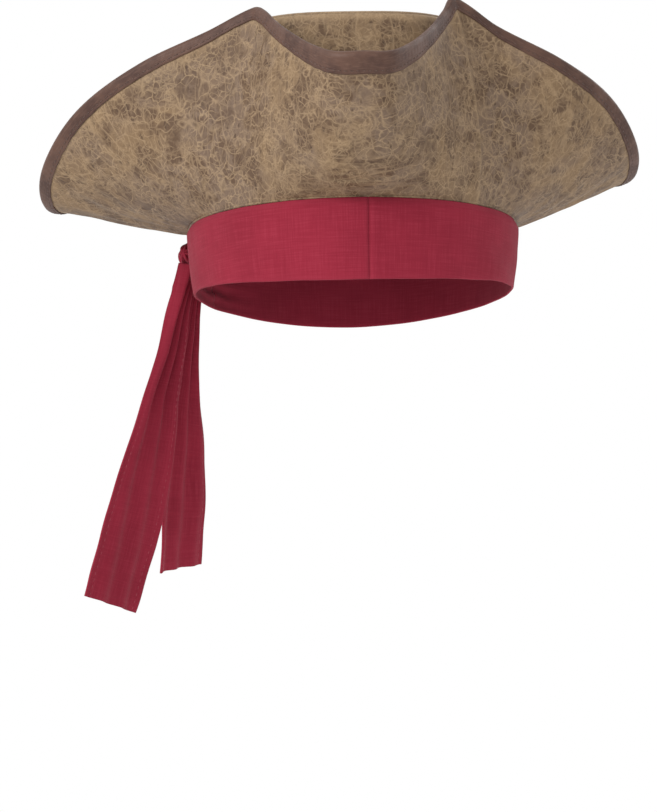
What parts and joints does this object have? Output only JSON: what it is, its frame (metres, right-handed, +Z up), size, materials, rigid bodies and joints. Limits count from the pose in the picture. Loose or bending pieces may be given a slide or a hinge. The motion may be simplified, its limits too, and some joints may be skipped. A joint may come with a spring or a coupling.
{
  "type": "pirate hat",
  "caption": "Three-cornered costume hat of crackled tan leather-look cloth with a dark bound brim, a red head band sewn under it, and knotted tails.",
  "frame": {"origin": "centre of the head opening, level with the red band's lower edge at the front", "axes": "+Z up through the crown, -Y out of the front corner of the brim, +X towards the wearer's left hand"},
  "size_m": [0.3693, 0.3183, 0.3468],
  "materials": {
    "tan_leather": "tan leather-look cloth, mottled brown, with fine light crackle and creases",
    "brown_binding": "dark brown tape, slightly shiny, folded and stitched",
    "felt_core": "stiff felt interlining",
    "wire": "plain steel millinery wire",
    "lining": "black woven lining",
    "sweatband": "black ribbed ribbon",
    "red_cotton": "matt raspberry red woven cotton",
    "thread": "brown waxed thread"
  },
  "bodies": {
    "hat": {"brim_under_skin": "tan_leather", "brim_core": "felt_core", "brim_upper_skin": "tan_leather", "brim_binding": "brown_binding", "brim_wire": "wire", "crown_front": "tan_leather", "crown_back": "tan_leather", "crown_top": "tan_leather", "lining_side": "lining", "lining_top": "lining", "sweatband": "sweatband", "band_left": "red_cotton", "band_right": "red_cotton", "band_knot": "red_cotton", "brim_tacks": "thread"},
    "tail_front": {"tail_front": "red_cotton"},
    "tail_back": {"tail_back": "red_cotton"}
  },
  "joints": [
    {"name": "tail_front_swing", "type": "hinge", "parent": "hat", "child": "tail_front", "pos_m": [-0.09622, 0.05547, 0.04], "axis": [0.4352, 0.9003, 0], "range_deg": [-12, 60]},
    {"name": "tail_back_swing", "type": "hinge", "parent": "hat", "child": "tail_back", "pos_m": [-0.09622, 0.05547, 0.04], "axis": [0.4352, 0.9003, 0], "range_deg": [-12, 60]}
  ]
}
